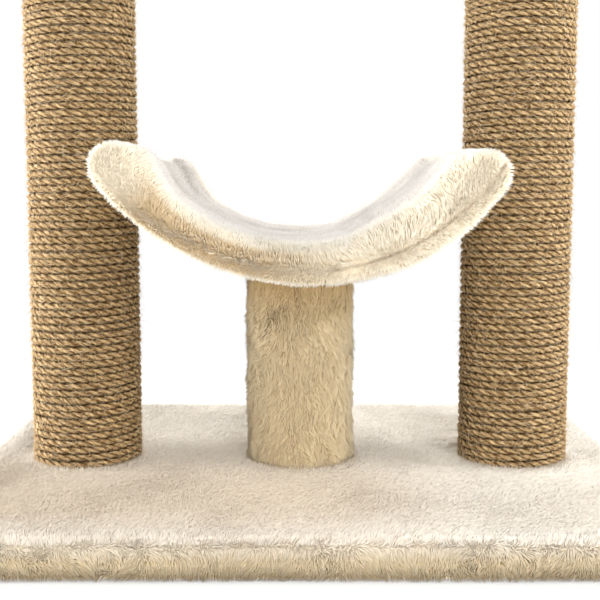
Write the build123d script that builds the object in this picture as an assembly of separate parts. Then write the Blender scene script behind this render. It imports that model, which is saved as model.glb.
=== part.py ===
"""Lower tier of a plush cat tree: covered base, two rope posts and a curved cradle on a short post.

Millimetres, +Z up. The origin is on the floor, under the middle of the base. X runs across
from post to post, and the open front of the tree looks along -Y.
"""

import math
import os

from build123d import *

# Base: a board wrapped in plush, with the plush turned under its rim
BASE_WIDTH = 500.0
BASE_DEPTH = 400.0
BASE_CORNER_RADIUS = 20.0
BASE_TOP_ROUND = 9.0
BASE_FOOT_CHAMFER = 2.0
BOARD_THICKNESS = 18.0
BASE_TOP_PILE = 6.0
BASE_SIDE_PILE = 5.0
HEM_THICKNESS = 3.0
HEM_WIDTH = 35.0
HEM_WINDOW_RADIUS = 12.0

# Posts: paper tubes closed by plugs
POST_SPACING = 333.0
POST_LENGTH = 364.0
TUBE_DIAMETER = 72.0
TUBE_WALL = 4.5
ROPE_DIAMETER = 6.0
CRUSHED_PILE = 2.0
SEAT_GAP = 0.3
PLUG_THICKNESS = 16.0
PLUG_GAP = 0.1

# Short post under the cradle, in a plush sleeve whose two edges meet at a seam
CRADLE_POST_LENGTH = 159.0
SLEEVE_PILE = 6.0
SLEEVE_SEAM_GAP = 0.8
SLEEVE_SEAM_ANGLE = -25.0

# Cradle: a bent plywood shell, wadding on top, and plush above and below it
CRADLE_LENGTH = 350.0
CRADLE_SIDE_GAP = 2.5
CRADLE_TIP_ROUND = 11.0
CRADLE_RIM_CHAMFER = 7.0
SHELL_BEND_RADIUS = 152.0
SHELL_THICKNESS = 9.0
PADDING_THICKNESS = 8.0
CRADLE_PILE = 5.0
CRADLE_SEAT_PILE = 1.0

# Fasteners: bolts up through the base, threaded inserts in the plugs, a carriage bolt in the shell
BOLT_DIAMETER = 8.0
BOLT_LENGTH = 35.0
BOLT_HEAD_DIAMETER = 14.0
BOLT_HEAD_HEIGHT = 4.2
BOLT_SOCKET_FLATS = 5.0
BOLT_SOCKET_DEPTH = 2.6
WASHER_DIAMETER = 22.0
WASHER_THICKNESS = 1.6
COUNTERBORE_DIAMETER = 25.0
COUNTERBORE_DEPTH = 6.5
THREAD_GAP = 0.05
BOLT_HOLE_GAP = 0.5
INSERT_DIAMETER = 12.0
INSERT_LENGTH = 14.0
INSERT_GAP = 0.1
CARRIAGE_HEAD_DIAMETER = 20.0
CARRIAGE_HEAD_HEIGHT = 3.0
CARRIAGE_NECK_WIDTH = 8.0
CARRIAGE_NECK_HEIGHT = 4.0
CARRIAGE_LENGTH = 20.0
CARRIAGE_GAP = 0.1

# Levels up the tree
BOARD_BOTTOM = HEM_THICKNESS
BOARD_TOP = BOARD_BOTTOM + BOARD_THICKNESS
BASE_TOP = BOARD_TOP + BASE_TOP_PILE
POST_BOTTOM = BOARD_TOP + CRUSHED_PILE
POST_TOP = POST_BOTTOM + POST_LENGTH
CRADLE_SEAT = POST_BOTTOM + CRADLE_POST_LENGTH
SHELL_BOTTOM = CRADLE_SEAT + CRADLE_SEAT_PILE
BEND_AXIS = SHELL_BOTTOM + SHELL_BEND_RADIUS
BOLT_SEAT = BOARD_BOTTOM + COUNTERBORE_DEPTH

# Radii that several pieces share
TUBE_RADIUS = TUBE_DIAMETER / 2
TUBE_BORE_RADIUS = TUBE_RADIUS - TUBE_WALL
ROPE_RADIUS = TUBE_RADIUS + ROPE_DIAMETER
SLEEVE_RADIUS = TUBE_RADIUS + SLEEVE_PILE
PLUG_RADIUS = TUBE_BORE_RADIUS - PLUG_GAP
INSERT_HOLE_RADIUS = INSERT_DIAMETER / 2 + INSERT_GAP
THREAD_RADIUS = BOLT_DIAMETER / 2
SHANK_RADIUS = THREAD_RADIUS - THREAD_GAP
BOLT_HOLE_RADIUS = THREAD_RADIUS + BOLT_HOLE_GAP

# Cradle, measured from its bend axis
SHELL_INNER = SHELL_BEND_RADIUS - SHELL_THICKNESS
PADDING_INNER = SHELL_INNER - PADDING_THICKNESS
COVER_OUTER = SHELL_BEND_RADIUS + CRADLE_PILE
COVER_INNER = PADDING_INNER - CRADLE_PILE
SEAM_RADIUS = SHELL_BEND_RADIUS - SHELL_THICKNESS / 2
CRADLE_HALF_SPAN = POST_SPACING / 2 - ROPE_RADIUS - CRADLE_SIDE_GAP
TIP_CENTRE = COVER_OUTER - CRADLE_TIP_ROUND
TIP_REACH = math.asin((CRADLE_HALF_SPAN - CRADLE_TIP_ROUND) / TIP_CENTRE)
COVER_ANGLE = math.degrees(TIP_REACH + math.asin(CRADLE_TIP_ROUND / TIP_CENTRE))
FILLING_ANGLE = COVER_ANGLE - math.degrees(CRADLE_PILE / SHELL_INNER)
CARRIAGE_SEAT = SHELL_BOTTOM + SHELL_THICKNESS - CARRIAGE_HEAD_HEIGHT

LEFT = -POST_SPACING / 2
RIGHT = POST_SPACING / 2
POST_PLACES = {"left": LEFT, "cradle_post": 0.0, "right": RIGHT}


def upright(radius, bottom, top, x=0.0):
    """A round bar that stands at x, from bottom to top."""
    bar = Cylinder(radius, top - bottom, align=(Align.CENTER, Align.CENTER, Align.MIN))
    return Pos(x, 0, bottom) * bar


def ring(outer_radius, inner_radius, bottom, top, x=0.0):
    """A round bar with a bore right through it."""
    return upright(outer_radius, bottom, top, x) - upright(inner_radius, bottom, top, x)


def slab(width, depth, bottom, top, corner_radius):
    """A flat board with rounded corners."""
    outline = RectangleRounded(width, depth, corner_radius)
    return Pos(0, 0, bottom) * extrude(outline, amount=top - bottom)


def base_board():
    """The board, with a counterbored hole under each post."""
    width = BASE_WIDTH - 2 * BASE_SIDE_PILE
    depth = BASE_DEPTH - 2 * BASE_SIDE_PILE
    board = slab(width, depth, BOARD_BOTTOM, BOARD_TOP, BASE_CORNER_RADIUS - BASE_SIDE_PILE)
    for x in POST_PLACES.values():
        board -= upright(BOLT_HOLE_RADIUS, BOARD_BOTTOM, BOARD_TOP, x)
        board -= upright(COUNTERBORE_DIAMETER / 2, BOARD_BOTTOM, BOLT_SEAT, x)
    return board


def base_cover():
    """The plush skin of the base: its pile is crushed flat under each post."""
    skin = slab(BASE_WIDTH, BASE_DEPTH, 0, BASE_TOP, BASE_CORNER_RADIUS)
    skin = fillet(skin.edges().group_by(Axis.Z)[-1], BASE_TOP_ROUND)
    skin = chamfer(skin.edges().group_by(Axis.Z)[0], BASE_FOOT_CHAMFER)
    width = BASE_WIDTH - 2 * BASE_SIDE_PILE
    depth = BASE_DEPTH - 2 * BASE_SIDE_PILE
    skin -= slab(width, depth, BOARD_BOTTOM, BOARD_TOP, BASE_CORNER_RADIUS - BASE_SIDE_PILE)
    window_width = width - 2 * HEM_WIDTH
    window_depth = depth - 2 * HEM_WIDTH
    skin -= slab(window_width, window_depth, 0, BOARD_BOTTOM, HEM_WINDOW_RADIUS)
    seat_radii = {"left": ROPE_RADIUS, "cradle_post": SLEEVE_RADIUS, "right": ROPE_RADIUS}
    for name, x in POST_PLACES.items():
        skin -= upright(seat_radii[name] + SEAT_GAP, POST_BOTTOM, BASE_TOP, x)
        skin -= upright(BOLT_HOLE_RADIUS, BOARD_TOP, POST_BOTTOM, x)
    return skin


def plug(x, bottom):
    """A round plug, bored for its threaded insert."""
    return ring(PLUG_RADIUS, INSERT_HOLE_RADIUS, bottom, bottom + PLUG_THICKNESS, x)


def insert(x, mouth, into):
    """A threaded insert, flush with its plug's outer face at mouth. It goes up (1) or down (-1) from there."""
    low, high = sorted((mouth, mouth + into * INSERT_LENGTH))
    return ring(INSERT_DIAMETER / 2, THREAD_RADIUS, low, high, x)


def rope_winding(x):
    """The outer shape of the rope's turns on a post."""
    return ring(ROPE_RADIUS, TUBE_RADIUS, POST_BOTTOM, POST_TOP, x)


def sleeve():
    """The plush round the short post, open at the seam."""
    body = ring(SLEEVE_RADIUS, TUBE_RADIUS, POST_BOTTOM, CRADLE_SEAT)
    reach = 2 * SLEEVE_RADIUS
    slit = Box(reach, SLEEVE_SEAM_GAP, CRADLE_POST_LENGTH, align=(Align.MIN, Align.CENTER, Align.MIN))
    return body - Pos(0, 0, POST_BOTTOM) * Rot(0, 0, SLEEVE_SEAM_ANGLE) * slit


def bent_profile(inner_radius, outer_radius, angle):
    """The arc-shaped section of a board bent about the cradle's axis, seen from the front."""
    centre = (0, BEND_AXIS)
    start = 270 - angle
    outer = CenterArc(centre, outer_radius, start, 2 * angle)
    inner = CenterArc(centre, inner_radius, start, 2 * angle)
    ends = [Line(inner @ k, outer @ k) for k in (0, 1)]
    return make_face([outer, inner, *ends])


def from_front_to_back(profile, length):
    """A front profile, drawn out to the same length before and behind the posts."""
    return extrude(Plane.XZ * profile, amount=length / 2, both=True)


def cradle_filling(inner_radius, outer_radius):
    """One layer of what lies inside the cradle's plush."""
    profile = bent_profile(inner_radius, outer_radius, FILLING_ANGLE)
    return from_front_to_back(profile, CRADLE_LENGTH - 2 * CRADLE_PILE)


def cradle_skin():
    """The closed plush skin of the cradle, before it is parted at its seam."""
    profile = bent_profile(COVER_INNER, COVER_OUTER, COVER_ANGLE)
    profile = fillet(profile.vertices(), CRADLE_TIP_ROUND)
    body = from_front_to_back(profile, CRADLE_LENGTH)
    ends = body.faces().sort_by(Axis.Y)
    body = chamfer(ends[0].edges() + ends[-1].edges(), CRADLE_RIM_CHAMFER)
    return body - cradle_filling(PADDING_INNER, SHELL_BEND_RADIUS)


def seam_cylinder():
    """Everything nearer to the bend axis than the seam."""
    bar = Cylinder(SEAM_RADIUS, CRADLE_LENGTH)
    return Pos(0, 0, BEND_AXIS) * Rot(90, 0, 0) * bar


def cradle_under_cover(skin):
    """The lower plush, crushed to a flat seat where the short post stands."""
    cover = skin - seam_cylinder()
    cover -= upright(SLEEVE_RADIUS + SEAT_GAP, POST_BOTTOM, CRADLE_SEAT)
    return cover - upright(BOLT_HOLE_RADIUS, CRADLE_SEAT, SHELL_BOTTOM + CRADLE_PILE)


def carriage_neck(width):
    """The square neck that stops the cradle's bolt from turning."""
    neck = Box(width, width, CARRIAGE_NECK_HEIGHT, align=(Align.CENTER, Align.CENTER, Align.MAX))
    return Pos(0, 0, CARRIAGE_SEAT) * neck


def cradle_shell():
    """The bent plywood, with a flat-bottomed seat and a square hole for its bolt."""
    shell = cradle_filling(SHELL_INNER, SHELL_BEND_RADIUS)
    shell -= upright(CARRIAGE_HEAD_DIAMETER / 2 + CARRIAGE_GAP, CARRIAGE_SEAT, BEND_AXIS)
    shell -= carriage_neck(CARRIAGE_NECK_WIDTH + 2 * CARRIAGE_GAP)
    return shell - upright(BOLT_HOLE_RADIUS, CRADLE_SEAT, CARRIAGE_SEAT)


def cradle_bolt():
    """The carriage bolt under the wadding, pointing down into the short post."""
    bolt = upright(CARRIAGE_HEAD_DIAMETER / 2, CARRIAGE_SEAT, CARRIAGE_SEAT + CARRIAGE_HEAD_HEIGHT)
    bolt += carriage_neck(CARRIAGE_NECK_WIDTH)
    return bolt + upright(SHANK_RADIUS, CARRIAGE_SEAT - CARRIAGE_LENGTH, CARRIAGE_SEAT)


def base_bolt(x):
    """A button-headed bolt with a hexagon socket, pointing up."""
    head_top = BOLT_SEAT - WASHER_THICKNESS
    head_bottom = head_top - BOLT_HEAD_HEIGHT
    head = upright(BOLT_HEAD_DIAMETER / 2, head_bottom, head_top, x)
    hexagon = RegularPolygon(BOLT_SOCKET_FLATS / 2, 6, major_radius=False)
    head -= Pos(x, 0, head_bottom) * extrude(hexagon, amount=BOLT_SOCKET_DEPTH)
    return head + upright(SHANK_RADIUS, head_top, head_top + BOLT_LENGTH, x)


def washer(x):
    """The wide washer between a bolt's head and the board."""
    return ring(WASHER_DIAMETER / 2, BOLT_HOLE_RADIUS, BOLT_SEAT - WASHER_THICKNESS, BOLT_SEAT, x)


def save(name, *solids):
    """Writes one node, made of one solid or of several like ones."""
    shape = solids[0] if len(solids) == 1 else Compound(children=list(solids))
    export_step(shape, f"parts/{name}.step")


def build_post(name, x, top):
    """The tube of one post, and the plugs and threaded inserts at its two ends."""
    save(f"{name}_tube", ring(TUBE_RADIUS, TUBE_BORE_RADIUS, POST_BOTTOM, top, x))
    save(f"{name}_plugs", plug(x, POST_BOTTOM), plug(x, top - PLUG_THICKNESS))
    save(f"{name}_inserts", insert(x, POST_BOTTOM, 1), insert(x, top, -1))


os.makedirs("parts", exist_ok=True)

save("base_board", base_board())
save("base_cover", base_cover())
for post_name, post_x in POST_PLACES.items():
    post_top = CRADLE_SEAT if post_name == "cradle_post" else POST_TOP
    build_post(post_name, post_x, post_top)
save("left_rope", rope_winding(LEFT))
save("right_rope", rope_winding(RIGHT))
save("cradle_post_sleeve", sleeve())
save("base_bolts", *[base_bolt(x) for x in POST_PLACES.values()])
save("base_washers", *[washer(x) for x in POST_PLACES.values()])

cradle_plush = cradle_skin()
save("cradle_top_cover", cradle_plush & seam_cylinder())
save("cradle_under_cover", cradle_under_cover(cradle_plush))
save("cradle_shell", cradle_shell())
save("cradle_padding", cradle_filling(PADDING_INNER, SHELL_INNER))
save("cradle_bolt", cradle_bolt())
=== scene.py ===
"""Lower tier of a plush cat tree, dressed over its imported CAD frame.

Metres, +Z up, in the CAD model's own frame. The open front looks along -Y.
"""

import math

import bmesh
import bpy
import numpy as np
from mathutils import Matrix, Vector, noise


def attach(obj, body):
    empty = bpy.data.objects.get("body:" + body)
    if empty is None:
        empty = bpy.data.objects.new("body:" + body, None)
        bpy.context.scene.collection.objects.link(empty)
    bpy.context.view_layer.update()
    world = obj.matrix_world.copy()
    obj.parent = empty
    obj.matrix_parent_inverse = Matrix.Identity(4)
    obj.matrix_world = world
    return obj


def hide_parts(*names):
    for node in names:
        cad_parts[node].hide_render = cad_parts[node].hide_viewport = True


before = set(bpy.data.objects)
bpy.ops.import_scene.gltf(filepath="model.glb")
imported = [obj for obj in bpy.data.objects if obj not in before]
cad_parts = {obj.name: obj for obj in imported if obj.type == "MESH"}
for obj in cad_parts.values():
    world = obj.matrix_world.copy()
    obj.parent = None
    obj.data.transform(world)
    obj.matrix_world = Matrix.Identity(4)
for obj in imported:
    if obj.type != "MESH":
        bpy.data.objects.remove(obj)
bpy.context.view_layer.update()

MM = 0.001

# The same swirls of pile on every run
NOISE_SEED = 7
noise.seed_set(NOISE_SEED)

# Base, posts and cradle, at the CAD model's sizes
BOARD_HALF_WIDTH = 245 * MM
BOARD_HALF_DEPTH = 195 * MM
BOARD_BOTTOM = 3 * MM
BOARD_TOP = 21 * MM
BOARD_CORNER_RADIUS = 15 * MM
HEM_WIDTH = 33 * MM
HEM_CORNER_RADIUS = 12 * MM
STAPLE_SIZE = (11 * MM, 1.3 * MM, 0.7 * MM)
POST_OFFSET = 166.5 * MM
POST_RADIUS = 42 * MM
POST_BOTTOM = 23 * MM
TUBE_RADIUS = 36 * MM
CRADLE_SEAT = 182 * MM
SLEEVE_SEAM_ANGLE = math.radians(-25)
BEND_AXIS = 335 * MM
TROUGH_RADIUS = 134.5 * MM
UNDERSIDE_RADIUS = 154 * MM
CRADLE_HALF_LENGTH = 176 * MM
CRADLE_HALF_ANGLE = math.radians(54)
CRADLE_HALF_SPAN = 122.5 * MM
SEAM_RADIUS = 147.5 * MM
SEAM_SAG = 3 * MM
SEAM_SHOWS = (0 * MM, 40 * MM)
SAG_STARTS = 50 * MM
SAG_ENDS = 150 * MM

# Plush: a ground cloth with pile on it
CLOTH_THICKNESS = 2 * MM
BASE_CLOTH_THICKNESS = 3.5 * MM
FLOOR_CLEARANCE = 0.3 * MM
GROUND_SHARE = 0.9
# Painted shade darkens the pile below this height, near the floor
FLOOR_SHADE_HEIGHT = 10 * MM
FLAT_TOP = 0.94

# Rope: three strands laid right-handed, wound tight round the tube
ROPE_RADIUS = 2.78 * MM
ROPE_PITCH = 5.44 * MM
ROPE_LAY = 25 * MM
ROPE_STEPS_A_TURN = 156
ROPE_ROUGHNESS = 0.32 * MM
TURNS_A_STRETCH = 33
WINDING_RADIUS = POST_RADIUS - ROPE_RADIUS
ROPE_START = POST_BOTTOM + ROPE_RADIUS - 1 * MM
ROPE_TURN_LENGTH = math.hypot(math.tau * WINDING_RADIUS, ROPE_PITCH)
ROPE_TWIST = math.tau / ROPE_LAY
STRAND_REACH = (0.72, 0.92, 1.0, 0.92)
# How far each point of the section lies from a lay between strands; the rope's finish paints shade
# into the lays
STRAND_CROWN = (0.0, 0.75, 1.0, 0.75)
FIBRE_SHEAR = 0.6

# Cradle: steps round its bend, frames of its swelling, and how far it may swell
SLAB_STEPS = 24
PUFF_FRAMES = 20
PUFF_LIMIT = 5 * MM
PUFF_SETTINGS = {
    "use_pressure": True,
    "uniform_pressure_force": 4.0,
    "quality": 5,
    "tension_stiffness": 12,
    "compression_stiffness": 12,
    "bending_stiffness": 0.6,
}

# Cradle: its looser lines beyond the posts, at its tips and along its front
BEYOND_POSTS = (44 * MM, 95 * MM)
TIP_BENDS = (math.radians(28), CRADLE_HALF_ANGLE)
TIP_ROUNDS = (math.radians(44), CRADLE_HALF_ANGLE)
TIP_PILE_STARTS = (math.radians(38), math.radians(50))
TIP_LENGTHENS = 0.035
TIP_CORNER_LENGTHENS = 0.005
TIP_BULGE = 0.03
TIP_THICKENS = 0.28
TIP_REACH = 11 * MM
TIP_DROOP = 1.0 * MM
TROUGH_THINS = 0.28
TROUGH_HOLLOW = 1.0 * MM
FRONT_SLOPE = 0.02
RIM_SAG = 2.2 * MM
BELLY_DROP = 1.5 * MM
CREASE_DEPTH = 2.4 * MM
CREASE_WIDTH = 2 * MM

# Spacing, length, width and ruffle of each kind of pile
FIBRE_PILE = (2.1 * MM, 6 * MM, 0.3 * MM, 1.0)
BASE_TOP_PILE = (1.06 * MM, 4.4 * MM, 1.1 * MM, 0.7)
BASE_EDGE_PILE = (0.58 * MM, 5.6 * MM, 0.9 * MM, 2.0)
BASE_SIDE_PILE = (0.77 * MM, 5.8 * MM, 1.0 * MM, 2.6)
SLEEVE_PILE = (0.76 * MM, 7 * MM, 1.0 * MM, 2.4)
TROUGH_PILE = (1.08 * MM, 4.2 * MM, 1.1 * MM, 1.0)
UNDERSIDE_PILE = (1.25 * MM, 4.2 * MM, 1.3 * MM, 1.2)
RIM_PILE = (0.55 * MM, 4.5 * MM, 0.64 * MM, 1.3)
LARGE_CLUMPS = 150.0
SMALL_CLUMPS = 210.0
FIBRE_SEED = 31
BASE_SEED = 11
SLEEVE_SEED = 61
CRADLE_SEED = 71

# Camera and lamps
CAMERA_LENS = 63.0
CAMERA_PLACE = (0.0, -0.811, 0.236)
CAMERA_PITCH = math.radians(6.1)
AMBIENT_LEVEL = 0.4
LAMPS = (
    ("left_lamp", (-1.5, 0.0, 0.5), (0, 0, 0.2), (0.9, 1.2), 52),
    ("right_lamp", (1.45, -0.1, 0.5), (0, 0, 0.2), (0.9, 1.2), 25),
    ("front_lamp", (0.45, -1.75, 1.1), (0, 0, 0.15), (1.2, 0.8), 22.5),
    ("low_lamp", (0.5, -1.65, 0.14), (0, 0, 0.18), (1.6, 0.25), 11),
    ("back_lamp", (-0.3, 1.5, 1.2), (0, 0.1, 0), (1.6, 0.8), 22),
    ("top_lamp", (0, 0.62, 0.66), (0, 0.16, 0.12), (0.7, 0.3), 3.5),
)


def srgb(*display):
    """A linear colour from display values of 11 to 255."""
    return (*(((value / 255 + 0.055) / 1.055) ** 2.4 for value in display), 1.0)


def ease(value, low, high):
    """0 below low, 1 above high, and a smooth rise between them."""
    share = min(max((value - low) / (high - low), 0.0), 1.0)
    return share * share * (3 - 2 * share)


# Tones that several finishes share
# Painted shade for the pile near the floor
FLOOR_SHADE_TONE = srgb(118, 96, 64)
# Painted shade in the cradle's seam crease
SEAM_CREASE_SHADE_TONE = srgb(150, 112, 62)
# Painted shade for the pile, as deep as each bed's shade asks
PAINTED_SHADE_TONE = srgb(194, 155, 86)

# Node helpers

COLOUR = "NodeSocketColor"
VALUE = "NodeSocketFloat"
VECTOR = "NodeSocketVector"


def add_node(tree, kind, sockets=None, **settings):
    """A new node with its settings, and its sockets linked or set."""
    node = tree.nodes.new(kind)
    for key, value in settings.items():
        setattr(node, key, value)
    for key, value in (sockets or {}).items():
        if isinstance(value, bpy.types.NodeSocket):
            tree.links.new(value, node.inputs[key])
        else:
            node.inputs[key].default_value = value
    return node


def maths(tree, operation, first, second=0.0):
    return add_node(tree, "ShaderNodeMath", {0: first, 1: second}, operation=operation).outputs[0]


def vectors(tree, operation, first, second=(0, 0, 0)):
    sockets = {0: first, 1: second}
    return add_node(tree, "ShaderNodeVectorMath", sockets, operation=operation).outputs[0]


def length_of(tree, vector):
    return add_node(tree, "ShaderNodeVectorMath", {0: vector}, operation="LENGTH").outputs["Value"]


def axis_value(tree, vector, axis):
    return add_node(tree, "ShaderNodeSeparateXYZ", {0: vector}).outputs[axis]


def ranged(tree, value, low, high, new_low, new_high):
    sockets = {0: value, 1: low, 2: high, 3: new_low, 4: new_high}
    return add_node(tree, "ShaderNodeMapRange", sockets).outputs[0]


def mixed(tree, factor, first, second, blend="MIX"):
    sockets = {0: factor, 6: first, 7: second}
    node = add_node(tree, "ShaderNodeMix", sockets, data_type="RGBA", blend_type=blend)
    return node.outputs[2]


def object_place(tree, scale=(1, 1, 1)):
    place = add_node(tree, "ShaderNodeTexCoord").outputs["Object"]
    return vectors(tree, "MULTIPLY", place, scale)


def noise_value(tree, place, scale, detail=2.0, roughness=0.5):
    sockets = {"Vector": place, "Scale": scale, "Detail": detail, "Roughness": roughness}
    return add_node(tree, "ShaderNodeTexNoise", sockets).outputs["Fac"]


def cells(tree, sockets):
    return add_node(tree, "ShaderNodeTexVoronoi", sockets).outputs


def own_value(tree, name):
    return add_node(tree, "ShaderNodeAttribute", attribute_name=name).outputs["Fac"]


def bump(tree, height, strength, distance):
    sockets = {"Height": height, "Strength": strength, "Distance": distance}
    return add_node(tree, "ShaderNodeBump", sockets).outputs["Normal"]


def effect_group(name, inputs, outputs):
    """An empty shader node group, what it is given and what it gives back."""
    tree = bpy.data.node_groups.new(name, "ShaderNodeTree")
    for way, sockets in (("INPUT", inputs), ("OUTPUT", outputs)):
        for label, kind in sockets.items():
            tree.interface.new_socket(label, in_out=way, socket_type=kind)
    given = tree.nodes.new("NodeGroupInput").outputs
    return tree, given, tree.nodes.new("NodeGroupOutput").inputs


def shade_group(name):
    """A group that takes a colour and gives it back changed."""
    return effect_group(name, {"Color": COLOUR}, {"Color": COLOUR})


def place_group(tree, group, sockets):
    return add_node(tree, "ShaderNodeGroup", sockets, node_tree=group).outputs


def new_finish(name, **plain):
    """A material whose uniform values are set on its shader."""
    material = bpy.data.materials.new(name)
    material.use_nodes = True
    tree = material.node_tree
    shader = tree.nodes["Principled BSDF"]
    for key, value in plain.items():
        shader.inputs[key.replace("_", " ")].default_value = value
    return material, tree, shader


def wire(tree, shader, colour, roughness, normal=None):
    """Links what varies over the surface to its shader."""
    tree.links.new(colour, shader.inputs["Base Color"])
    tree.links.new(roughness, shader.inputs["Roughness"])
    if normal:
        tree.links.new(normal, shader.inputs["Normal"])


# Shared effects


def make_floor_shade():
    """Painted shade: deeper colour close to the floor, where the plush is turned under."""
    tree, given, result = shade_group("floor shade")
    height = axis_value(tree, object_place(tree), "Z")
    share = ranged(tree, height, 0.0, FLOOR_SHADE_HEIGHT, 0.85, 0.0)
    colour = mixed(tree, share, given["Color"], FLOOR_SHADE_TONE)
    tree.links.new(colour, result["Color"])
    return tree


def make_seam_shade():
    """Painted shade: a dark line in the crease where the cradle's cover is sewn together, round its
    two ends.
    """
    tree, given, result = shade_group("seam shade")
    from_axis = vectors(tree, "SUBTRACT", object_place(tree), (0, 0, BEND_AXIS))
    across = axis_value(tree, from_axis, "X")
    along = axis_value(tree, from_axis, "Y")
    radius = length_of(tree, vectors(tree, "MULTIPLY", from_axis, (1, 0, 1)))
    sag = ranged(tree, along, -SAG_ENDS, -SAG_STARTS, SEAM_SAG, 0.0)
    off_seam = maths(tree, "SUBTRACT", radius, sag)
    off_seam = maths(tree, "ABSOLUTE", maths(tree, "SUBTRACT", off_seam, SEAM_RADIUS))
    line = ranged(tree, off_seam, 0.2 * MM, 1.5 * MM, 0.7, 0.0)
    parted = noise_value(tree, object_place(tree), 45.0, 3.0)
    line = maths(tree, "MULTIPLY", line, ranged(tree, parted, 0.3, 0.5, 0.0, 1.0))
    line = maths(tree, "MULTIPLY", line, ranged(tree, across, *SEAM_SHOWS, 0.1, 1.0))
    end_face = (CRADLE_HALF_LENGTH - 8 * MM, CRADLE_HALF_LENGTH - 5 * MM)
    ends = ranged(tree, maths(tree, "ABSOLUTE", along), *end_face, 0.0, 1.0)
    share = maths(tree, "MULTIPLY", line, ends)
    colour = mixed(tree, share, given["Color"], SEAM_CREASE_SHADE_TONE)
    tree.links.new(colour, result["Color"])
    return tree


def make_pile_tone():
    """Pile colour from root to tip, with brushed patches and odd tufts, and painted shade where the
    bed asks for it, near the floor and along the cradle's seam.
    """
    tree, given, result = effect_group(
        "pile tone",
        {"Root": COLOUR, "Tip": COLOUR, "Patch scale": VALUE, "Patch depth": VALUE},
        {"Color": COLOUR, "Roughness": VALUE, "Normal": VECTOR},
    )
    along = maths(tree, "POWER", own_value(tree, "along"), 0.75)
    hair = mixed(tree, along, given["Root"], given["Tip"])
    patch = noise_value(tree, object_place(tree), given["Patch scale"], 3.0)
    patch = ranged(tree, patch, 0.3, 0.7, -1.0, 1.0)
    patch = maths(tree, "MULTIPLY", patch, given["Patch depth"])
    odd = ranged(tree, own_value(tree, "tone"), 0.0, 1.0, -0.1, 0.08)
    level = maths(tree, "ADD", maths(tree, "ADD", patch, odd), 1.0)
    grey = add_node(tree, "ShaderNodeCombineColor", {0: level, 1: level, 2: level})
    colour = mixed(tree, 1.0, hair, grey.outputs[0], "MULTIPLY")
    # Painted shade, as deep as the bed's shade attribute
    colour = mixed(tree, own_value(tree, "shade"), colour, PAINTED_SHADE_TONE)
    # Painted shade near the floor
    colour = place_group(tree, FLOOR_SHADE, {"Color": colour})["Color"]
    # Painted shade in the crease along the cradle's seam
    colour = place_group(tree, SEAM_SHADE, {"Color": colour})["Color"]
    tree.links.new(colour, result["Color"])
    tree.links.new(ranged(tree, along, 0, 1, 0.95, 0.7), result["Roughness"])
    hair_normal = add_node(tree, "ShaderNodeTexCoord").outputs["Normal"]
    ground = add_node(tree, "ShaderNodeAttribute", attribute_name="ground").outputs["Vector"]
    ground = vectors(tree, "MULTIPLY", ground, (GROUND_SHARE,) * 3)
    normal = vectors(tree, "ADD", hair_normal, ground)
    normal = add_node(
        tree,
        "ShaderNodeVectorTransform",
        {0: vectors(tree, "NORMALIZE", normal)},
        vector_type="NORMAL",
        convert_from="OBJECT",
        convert_to="WORLD",
    )
    tree.links.new(normal.outputs[0], result["Normal"])
    return tree


def make_streaks():
    """Fine lengthwise fibres: a mask and a height, drawn out along X."""
    tree, given, result = effect_group(
        "streaks", {"Place": VECTOR, "Fineness": VALUE}, {"Mask": VALUE, "Height": VALUE}
    )
    coarse = noise_value(tree, given["Place"], given["Fineness"], 4.0, 0.6)
    finer = maths(tree, "MULTIPLY", given["Fineness"], 2.7)
    fine = noise_value(tree, given["Place"], finer, 3.0, 0.6)
    coarse = maths(tree, "MULTIPLY", coarse, 0.6)
    both = maths(tree, "ADD", coarse, maths(tree, "MULTIPLY", fine, 0.4))
    tree.links.new(ranged(tree, both, 0.35, 0.65, 0.0, 1.0), result["Mask"])
    tree.links.new(both, result["Height"])
    return tree


FLOOR_SHADE = make_floor_shade()
SEAM_SHADE = make_seam_shade()
PILE_TONE = make_pile_tone()
STREAKS = make_streaks()


# Finishes


def make_pile(name, tones, patch_scale, patch_depth, blend=None):
    """Pile of one pair of tones, or of two that blend along an axis, alike on both sides."""
    material, tree, shader = new_finish(
        name, Sheen_Weight=0.25, Sheen_Roughness=0.5, Specular_IOR_Level=0.2
    )
    patches = {"Patch scale": patch_scale, "Patch depth": patch_depth}
    piles = []
    for root, tip in tones:
        piles.append(place_group(tree, PILE_TONE, {"Root": root, "Tip": tip, **patches}))
    colour = piles[0]["Color"]
    if blend:
        axis, low, high = blend
        along = maths(tree, "ABSOLUTE", axis_value(tree, object_place(tree), axis))
        share = ranged(tree, along, low, high, 0.0, 1.0)
        colour = mixed(tree, share, colour, piles[1]["Color"])
    wire(tree, shader, colour, piles[0]["Roughness"], piles[0]["Normal"])
    return material


def make_ground_cloth():
    """The knitted ground under the pile: rows of small loops."""
    material, tree, shader = new_finish("ground_cloth", Specular_IOR_Level=0.15)
    place = object_place(tree, (1, 1.6, 1.6))
    rows = cells(tree, {"Vector": place, "Scale": 700.0, "Randomness": 0.45})
    loops = ranged(tree, rows["Distance"], 0.0, 0.6, 1.0, 0.0)
    shade = noise_value(tree, object_place(tree), 60.0)
    uneven_tone = mixed(tree, shade, srgb(232, 220, 198), srgb(240, 229, 208))
    colour = mixed(tree, loops, srgb(222, 208, 184), uneven_tone)
    roughness = ranged(tree, loops, 0, 1, 0.98, 0.85)
    wire(tree, shader, colour, roughness, bump(tree, loops, 0.5, 0.3 * MM))
    return material


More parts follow.
